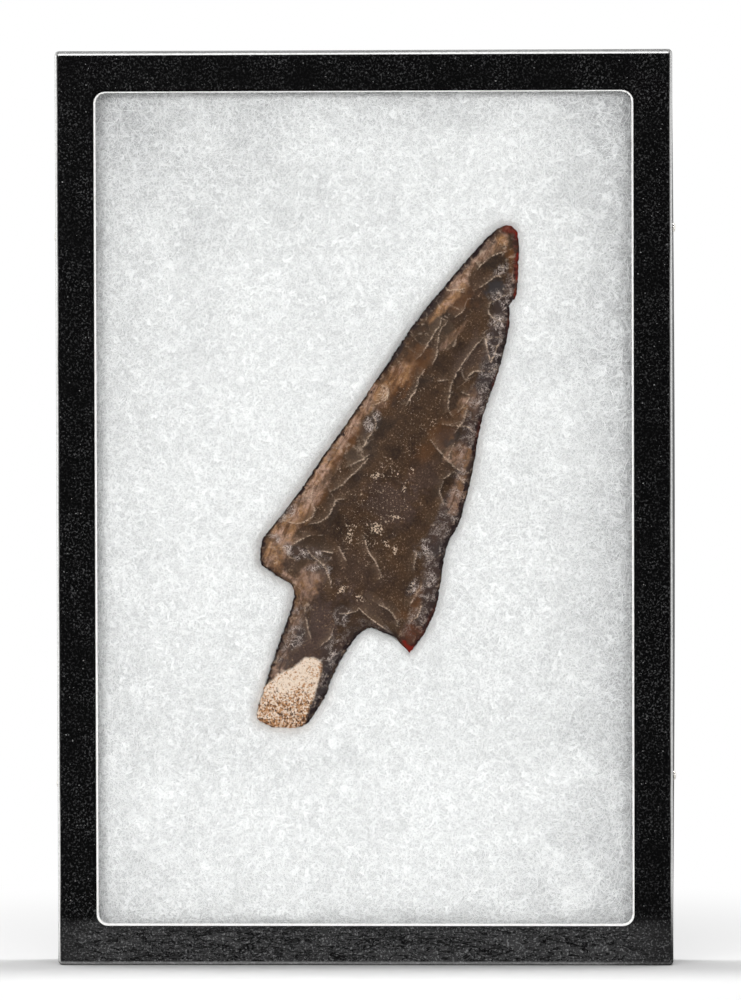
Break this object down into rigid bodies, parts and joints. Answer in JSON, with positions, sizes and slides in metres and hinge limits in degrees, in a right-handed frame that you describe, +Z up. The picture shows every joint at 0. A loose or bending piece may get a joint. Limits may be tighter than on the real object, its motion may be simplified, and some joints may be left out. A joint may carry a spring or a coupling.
{
  "type": "arrowhead display box",
  "caption": "Glass-topped leatherette specimen case with a telescoping lid, dome-head closing pins, white fibre filling and a knapped stone point.",
  "frame": {"origin": "middle of the lower edge that the case stands on, at floor level", "axes": "+X to the right across the case, +Z up its length, and the glass faces -Y, so +Y points out of the back"},
  "size_m": [0.2118, 0.0222, 0.3112],
  "materials": {
    "black_leatherette": "pebble-grained coated paper, semi-gloss",
    "grey_board": "uncoated recycled board",
    "kraft_paper": "gummed kraft strip",
    "white_lining": "plain uncoated paper",
    "clear_glass": "clear sheet glass with seamed edges",
    "white_fibre": "loose bonded polyester batting",
    "nickel_pins": "bright nickel plate",
    "brown_chert": "knapped, waxy to frosted"
  },
  "bodies": {
    "tray": {"tray_board": "grey_board", "tray_wrap": "black_leatherette", "tray_lining": "white_lining", "fibre_pad": "white_fibre", "arrowhead": "brown_chert", "tray_stay_upper_left": "kraft_paper", "tray_stay_upper_right": "kraft_paper", "tray_stay_lower_left": "kraft_paper", "tray_stay_lower_right": "kraft_paper"},
    "lid": {"lid_board": "grey_board", "lid_wrap": "black_leatherette", "glass_pane": "clear_glass", "glass_tape_top": "kraft_paper", "glass_tape_bottom": "kraft_paper", "glass_tape_left": "kraft_paper", "glass_tape_right": "kraft_paper", "lid_stay_upper_left": "kraft_paper", "lid_stay_upper_right": "kraft_paper", "lid_stay_lower_left": "kraft_paper", "lid_stay_lower_right": "kraft_paper"},
    "pin_upper_left": {"pin_upper_left": "nickel_pins"},
    "pin_upper_right": {"pin_upper_right": "nickel_pins"},
    "pin_lower_left": {"pin_lower_left": "nickel_pins"},
    "pin_lower_right": {"pin_lower_right": "nickel_pins"}
  },
  "joints": [
    {"name": "lid_lift", "type": "slide", "parent": "tray", "child": "lid", "axis": [0, -1, 0], "range_m": [0, 0.04]},
    {"name": "pin_upper_left_pull", "type": "slide", "parent": "lid", "child": "pin_upper_left", "axis": [-1, 0, 0], "range_m": [0, 0.014]},
    {"name": "pin_upper_right_pull", "type": "slide", "parent": "lid", "child": "pin_upper_right", "axis": [1, 0, 0], "range_m": [0, 0.014]},
    {"name": "pin_lower_left_pull", "type": "slide", "parent": "lid", "child": "pin_lower_left", "axis": [-1, 0, 0], "range_m": [0, 0.014]},
    {"name": "pin_lower_right_pull", "type": "slide", "parent": "lid", "child": "pin_lower_right", "axis": [1, 0, 0], "range_m": [0, 0.014]}
  ]
}
